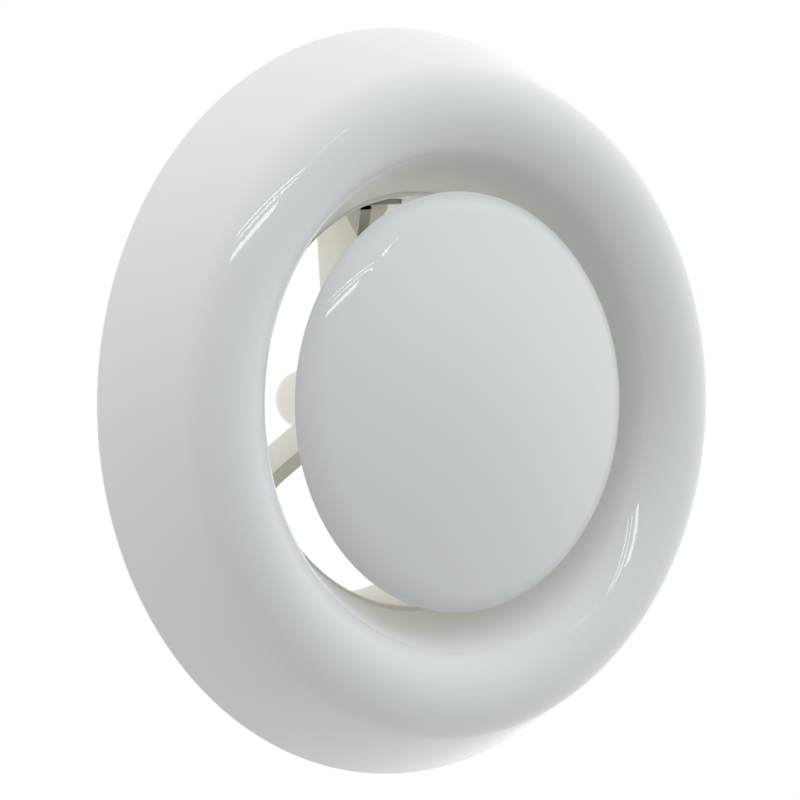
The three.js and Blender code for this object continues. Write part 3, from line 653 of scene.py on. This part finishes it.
def screw(name, length, place):
    """A pan-head screw with a cross recess and a coarse thread, its head's seat at height 0."""
    side = SCREW_HEAD_HEIGHT * SCREW_HEAD_SIDE_SHARE
    crown = dome(SCREW_HEAD_RADIUS, side, SCREW_HEAD_HEIGHT - side, SCREW_DOME_STEPS)
    root = SCREW_RADIUS - SCREW_THREAD_DEPTH
    shank = []
    height = SCREW_POINT_LENGTH - length
    while height < -SCREW_PLAIN_LENGTH:
        shank += [(root, height, 0), (SCREW_RADIUS, height + SCREW_PITCH / 2, 0)]
        height += SCREW_PITCH
    edge = 0.1
    body = solid_turned(name, rounded([
        (0, -length, 0), (SCREW_RADIUS * SCREW_POINT_SHARE, -length, 0), *shank, (root, -edge, 0),
        (root, 0, 0), (SCREW_HEAD_RADIUS, 0, edge), *crown, (0, SCREW_HEAD_HEIGHT, 0),
    ]), SCREW_STEPS)
    reach, half = RECESS_REACH, RECESS_HALF_WIDTH
    above = SCREW_HEAD_HEIGHT + OVERRUN
    rim = SCREW_HEAD_HEIGHT - RECESS_EDGE_DEPTH
    bottom = SCREW_HEAD_HEIGHT - RECESS_DEPTH
    blade = [(-reach, above), (-reach, rim), (-half, bottom), (half, bottom), (reach, rim), (reach, above)]
    blades = [extruded("blade", blade, -half, half, on_radius(angle)) for angle in (0, TURN / 4)]
    cross = combined(blades[0], "UNION", blades[1:])
    made = combined(body, "DIFFERENCE", [cross])
    place = Matrix.Translation(place.translation * MM) @ place.to_3x3().to_4x4()
    made.data.transform(place)
    return made


def neck_screw(i):
    seat = -NECK_TOP_DROP + FLANGE_THICKNESS + CLEARANCE
    place = upright_at(SCREW_CIRCLE_RADIUS, SCREW_ANGLES[i]) @ Matrix.Translation((0, 0, seat))
    return screw(f"neck_screw_{i + 1}_plated", SCREW_LENGTH, place)


def bridge_screw(i):
    place = along_radius(FOOT_SCREW_HEIGHT, ARM_ANGLES[i]) @ Matrix.Translation((0, 0, FOOT_SCREW_SEAT))
    return screw(f"bridge_screw_{i + 1}_plated", FOOT_SCREW_LENGTH, place)


def spring_clip(i):
    """A bowed steel leaf: a strip of even thickness along a bent line, with clipped corners."""
    tip = neck_inside(CLIP_TIP_HEIGHT) - CLIP_TIP_PROUD
    corners = [
        (CLIP_PIVOT_RADIUS - CLIP_ROOT_REACH, CLIP_PIVOT_HEIGHT, 0),
        (CLIP_PIVOT_RADIUS + 2 * CLIP_THICKNESS, CLIP_PIVOT_HEIGHT, CLIP_ROOT_BEND),
        (CLIP_CREST_RADIUS, CLIP_CREST_HEIGHT, CLIP_BEND),
        (CLIP_CREST_RADIUS - CLIP_SHOULDER_INSET, CLIP_TIP_HEIGHT + CLIP_SHOULDER_RISE, CLIP_BEND),
        (tip, CLIP_TIP_HEIGHT, 0),
    ]
    line = rounded(corners, CLIP_BEND_STEPS)
    half, edge = CLIP_WIDTH / 2, 0.1
    bm = bmesh.new()
    rows = []
    last = len(line) - 1
    for k, point in enumerate(line):
        along = (line[min(k + 1, last)] - line[max(k - 1, 0)]).normalized()
        normal = Vector((-along.y, along.x)) * CLIP_THICKNESS / 2
        wide = half - CLIP_CORNER_CUT if k in (0, last) else half
        outer, inner = point + normal, point - normal
        rows.append([bm.verts.new((outer.x, -wide, outer.y)), bm.verts.new((outer.x, wide, outer.y)),
                     bm.verts.new((inner.x, wide, inner.y)), bm.verts.new((inner.x, -wide, inner.y))])
    for first, second in zip(rows, rows[1:]):
        for k in range(4):
            n = (k + 1) % 4
            bm.faces.new((first[k], first[n], second[n], second[k]))
    bm.faces.new(rows[0])
    bm.faces.new(rows[-1])
    bmesh.ops.transform(bm, matrix=turn_about_axis(ARM_ANGLES[i]), verts=bm.verts)
    return softened(finished(f"spring_clip_{i + 1}_leaf", bm), edge)


class Number:
    """A socket's number, for sums in Python that become Math nodes."""

    def __init__(self, shader, socket):
        self.shader, self.socket = shader, socket

    def _math(self, operation, other):
        return self.shader.node("Math", {"operation": operation}, {0: self, 1: other})[0]

    def __add__(self, other):
        return self._math("ADD", other)

    def __mul__(self, other):
        return self._math("MULTIPLY", other)

    def highest(self, other):
        return self._math("MAXIMUM", other)

    __radd__, __rmul__ = __add__, __mul__


class Shader:
    """The nodes of one material, or of the world."""

    def __init__(self, owner):
        self.owner = owner
        owner.use_nodes = True
        self.tree = owner.node_tree
        self.tree.nodes.clear()

    def node(self, kind, settings=None, inputs=None):
        """A node of a kind, with its settings made first, and then its sockets set or linked."""
        made = self.tree.nodes.new(f"ShaderNode{kind}")
        for key, value in (settings or {}).items():
            setattr(made, key, value)
        for key, value in (inputs or {}).items():
            if isinstance(value, Number):
                self.tree.links.new(value.socket, made.inputs[key])
            elif value is not None:
                made.inputs[key].default_value = value
        return [Number(self, socket) for socket in made.outputs]

    def place(self):
        return self.node("TexCoord")[3]

    def towards(self, direction):
        """How nearly the way seen in the world is a direction, from -1 to 1."""
        inputs = {0: self.node("TexCoord")[0], 1: from_photo(direction).normalized()}
        return self.node("VectorMath", {"operation": "DOT_PRODUCT"}, inputs)[1]

    def step(self, value, start, end):
        """0 at the start, 1 at the end, and a smooth change between them."""
        return self.node("MapRange", {"interpolation_type": "SMOOTHSTEP"}, {0: value, 1: start, 2: end})[0]

    def radius(self):
        """How far a place is from the valve's axis."""
        across = self.node("VectorMath", {"operation": "MULTIPLY"}, {0: self.place(), 1: (1, 1, 0)})[0]
        return self.node("VectorMath", {"operation": "LENGTH"}, {0: across})[1]

    def height(self):
        return self.node("SeparateXYZ", None, {0: self.place()})[2]

    def noise(self, scale, detail):
        return self.node("TexNoise", None, {"Vector": self.place(), "Scale": scale, "Detail": detail})[0]

    def bump(self, height, strength, distance, normal=None):
        inputs = {"Height": height, "Strength": strength, "Distance": distance, "Normal": normal}
        return self.node("Bump", None, inputs)[0]

    def blend(self, factor, first, second):
        """The first colour where the factor is 0, the second where it is 1."""
        return self.node("Mix", {"data_type": "RGBA"}, {0: factor, 6: first, 7: second})[2]

    def surface(self, **sockets):
        inputs = {key.replace("_", " "): value for key, value in sockets.items()}
        shader = self.node("BsdfPrincipled", None, inputs)[0]
        self.node("OutputMaterial", None, {"Surface": shader})
        return self.owner


def opaque(red, green, blue):
    """A colour as the shaders take it, with nothing see-through."""
    return (red, green, blue, 1)


# The gloss fades to satin down in the funnel, over these radii and heights in metres
DULL_RADII = (0.0495, 0.048)
DULL_HEIGHTS = (-0.0185, -0.017)
DULL_ROUGHNESS = 0.4


def gloss_plastic():
    s = Shader(bpy.data.materials.new("gloss_white_plastic"))
    cloud = s.noise(28, 3)
    fine = s.noise(900, 2)
    waves = s.noise(120, 1)
    inside = s.step(s.radius(), *DULL_RADII) * s.step(s.height(), *DULL_HEIGHTS)
    rough = 0.015 + cloud * 0.02 + fine * 0.01 + inside * DULL_ROUGHNESS
    orange_peel = s.bump(waves, 0.02, 0.0003)
    return s.surface(
        Base_Color=s.blend(cloud, opaque(0.85, 0.85, 0.84), opaque(0.88, 0.88, 0.87)),
        Roughness=rough, Normal=s.bump(fine, 0.03, 0.0001, orange_peel), IOR=1.5)


def satin_plastic():
    s = Shader(bpy.data.materials.new("satin_white_plastic"))
    cloud = s.noise(40, 3)
    grain = s.noise(1600, 2)
    return s.surface(
        Base_Color=s.blend(cloud, opaque(0.84, 0.825, 0.77), opaque(0.88, 0.87, 0.82)),
        Roughness=0.4 + cloud * 0.12, Normal=s.bump(grain, 0.15, 0.0001))


def gasket_foam():
    s = Shader(bpy.data.materials.new("gasket_foam"))
    cells = s.node("TexVoronoi", {"feature": "F1"}, {"Vector": s.place(), "Scale": 1300.0})[0]
    soft = s.noise(90, 3)
    return s.surface(
        Base_Color=s.blend(cells, opaque(0.48, 0.48, 0.46), opaque(0.66, 0.66, 0.64)),
        Roughness=0.9 + soft * 0.1, Normal=s.bump(cells, 0.6, 0.0004), Specular_IOR_Level=0.3)


def spring_steel():
    s = Shader(bpy.data.materials.new("spring_steel"))
    stretch = {"Vector": s.place(), "Scale": (900, 900, 60)}
    stretched = s.node("Mapping", {"vector_type": "POINT"}, stretch)[0]
    brush = s.node("TexNoise", None, {"Vector": stretched, "Scale": 3.0, "Detail": 3.0})[0]
    cloud = s.noise(180, 3)
    return s.surface(
        Base_Color=s.blend(cloud, opaque(0.22, 0.215, 0.2), opaque(0.34, 0.335, 0.32)),
        Metallic=1.0, Roughness=0.26 + brush * 0.16, Normal=s.bump(brush, 0.12, 0.0001))


def zinc_plate():
    s = Shader(bpy.data.materials.new("zinc_plate"))
    grain = s.noise(1200, 2)
    return s.surface(
        Base_Color=s.blend(grain, opaque(0.58, 0.6, 0.62), opaque(0.68, 0.69, 0.7)),
        Metallic=1.0, Roughness=0.24 + grain * 0.12, Normal=s.bump(grain, 0.08, 0.0001))


def dress(piece, body, node, material):
    """Gives a piece its finish, and sets it on its body in place of its CAD node."""
    shaded(piece)
    piece.data.materials.clear()
    piece.data.materials.append(material)
    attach(piece, body)
    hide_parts(node)


def build_pieces():
    gloss, satin, foam = gloss_plastic(), satin_plastic(), gasket_foam()
    steel, zinc = spring_steel(), zinc_plate()
    dress(face_ring(), "housing", "face_ring", gloss)
    dress(rim_gasket(), "housing", "rim_gasket", foam)
    dress(neck_sleeve(), "housing", "neck_sleeve", satin)
    dress(bridge(), "housing", "bridge", satin)
    dress(hub_sleeve(), "housing", "hub_sleeve", satin)
    for i in range(COPIES):
        dress(neck_screw(i), "housing", f"neck_screw_{i + 1}", zinc)
        dress(bridge_screw(i), "housing", f"bridge_screw_{i + 1}", zinc)
        dress(spring_clip(i), f"clip_{i + 1}", f"spring_clip_{i + 1}", steel)
    lock_washer = washer("lock_washer_plated", LOCK_WASHER_LOW)
    dress(lock_washer, "nut_carrier", "lock_washer", zinc)
    lock_nut = hex_nut("lock_nut_plated", LOCK_NUT_LOW, LOCK_NUT_HEIGHT)
    dress(lock_nut, "lock_nut", "lock_nut", zinc)
    dress(spindle(), "disc", "spindle", zinc)
    dress(disc_shell(), "disc", "disc_shell", gloss)
    dress(disc_back_plate(), "disc", "disc_back_plate", satin)
    spindle_washer = washer("spindle_washer_plated", -SPINDLE_WASHER_DROP - WASHER_THICKNESS)
    dress(spindle_washer, "disc_carrier", "spindle_washer", zinc)
    low = -SPINDLE_NUT_DROP - SPINDLE_NUT_HEIGHT
    spindle_nut = hex_nut("spindle_nut_plated", low, SPINDLE_NUT_HEIGHT)
    dress(spindle_nut, "disc", "spindle_nut", zinc)


# The camera stands below the ceiling, well to one side, its place in rim radii; the photograph's upright is
# nearly the part's +Y
CAMERA_PLACE = (-5.0295, 0.0748, 6.2208)
CAMERA_FORWARD = (0.6262, -0.009, -0.7796)
CAMERA_DOWN = (0, -1.0, 0.0115)
PHOTO_TURN = math.radians(184.5)
FRAME_WIDTH_PX = 800
FOCAL_PX = 2984
SENSOR_WIDTH = 36
NEAREST, FARTHEST = 0.01, 50


def from_photo(direction):
    """A direction seen as right, up and out of the valve's face, in the part's frame."""
    right, up, out = direction
    c, s = math.cos(PHOTO_TURN), math.sin(PHOTO_TURN)
    return Vector((c * right + s * up, s * right - c * up, -out))


def camera():
    data = bpy.data.cameras.new("camera")
    data.sensor_width = SENSOR_WIDTH
    data.lens = FOCAL_PX / FRAME_WIDTH_PX * SENSOR_WIDTH
    data.clip_start, data.clip_end = NEAREST, FARTHEST
    made = bpy.data.objects.new("camera", data)
    bpy.context.collection.objects.link(made)
    forward, down = from_photo(CAMERA_FORWARD).normalized(), from_photo(CAMERA_DOWN).normalized()
    right = down.cross(forward)
    axes = Matrix((right, -down, -forward)).transposed().to_4x4()
    made.matrix_world = Matrix.Translation(from_photo(CAMERA_PLACE) * RIM_RADIUS * MM) @ axes
    bpy.context.scene.camera = made


# The light, as directions seen right, up and out of the valve's face: a pale room, cooler in front of the
# face and warmer behind it, with one dark corner, and four long thin lamps, each with its two ends, its
# width in metres and its radiance
FRONT_LIGHT = opaque(0.93, 1.0, 1.05)
REAR_LIGHT = opaque(1.04, 1.0, 0.93)
BLACK, WHITE = opaque(0, 0, 0), opaque(1, 1, 1)
DARK_CORNER = (-0.44, -0.60, 0.66)
CORNER_INNER, CORNER_OUTER = math.radians(40), math.radians(48)
LAMP_DISTANCE = 2.2
# Watts for each square metre of a lamp and unit of its radiance
WATTS_PER_RADIANCE = 4
LAMP_COLOUR = (0.85, 1, 1)
LAMPS = {
    "lamp_far_left": ((-0.55, 0.65, 0.52), (0.14, 0.53, 0.835), 0.025, 8),
    "lamp_left": ((-0.53, 0.61, 0.59), (0.125, 0.50, 0.855), 0.025, 8),
    "lamp_middle": ((-0.545, 0.54, 0.64), (0.02, 0.475, 0.88), 0.1, 6),
    "lamp_right": ((0.18, 0.545, 0.82), (0.27, 0.61, 0.745), 0.025, 7),
}


def strip_lamp(name, start, end, width, radiance):
    """A long thin lamp that the valve sees from one direction to another."""
    start, end = (from_photo(way).normalized() * LAMP_DISTANCE for way in (start, end))
    data = bpy.data.lights.new(name, "AREA")
    data.shape = "RECTANGLE"
    data.size, data.size_y = width, (end - start).length
    data.energy = WATTS_PER_RADIANCE * radiance * data.size * data.size_y
    data.color = LAMP_COLOUR
    made = bpy.data.objects.new(name, data)
    bpy.context.collection.objects.link(made)
    along, back = (end - start).normalized(), (start + end).normalized()
    turn = Matrix((along.cross(back), along, back)).transposed().to_4x4()
    made.matrix_world = Matrix.Translation((start + end) / 2) @ turn
    made.visible_camera = made.visible_diffuse = False


def light():
    """The room's shades only light the part; straight, mirrored or through, the room looks plain white."""
    world = bpy.data.worlds.new("room")
    bpy.context.scene.world = world
    s = Shader(world)
    in_front = s.towards((0, 0, 1)) * 0.5 + 0.5
    room = s.blend(in_front, REAR_LIGHT, FRONT_LIGHT)
    corner = s.step(s.towards(DARK_CORNER), math.cos(CORNER_OUTER), math.cos(CORNER_INNER))
    path = s.node("LightPath")
    camera_ray, gloss_ray, through_ray = path[0], path[3], path[6]
    seen = camera_ray.highest(gloss_ray).highest(through_ray)
    sky = s.node("Background", None, {"Color": s.blend(seen, s.blend(corner, room, BLACK), WHITE)})[0]
    s.node("OutputWorld", None, {"Surface": sky})
    for name, lamp in LAMPS.items():
        strip_lamp(name, *lamp)


FLOOR_SIZE = 10
FLOOR_DROP = 2.4


def floor():
    """A plain backdrop far below the part, which only the camera sees."""
    bpy.ops.mesh.primitive_plane_add(size=FLOOR_SIZE, location=(0, 0, -FLOOR_DROP))
    made = bpy.context.object
    made.name = "room_floor"
    s = Shader(bpy.data.materials.new("pale_floor"))
    made.data.materials.append(s.surface(Base_Color=opaque(0.92, 0.92, 0.93), Roughness=0.8))
    made.visible_diffuse = made.visible_glossy = made.visible_transmission = made.visible_shadow = False


def main():
    build_pieces()
    camera()
    light()
    floor()
    scene = bpy.context.scene
    scene.view_settings.view_transform = "Standard"


main()
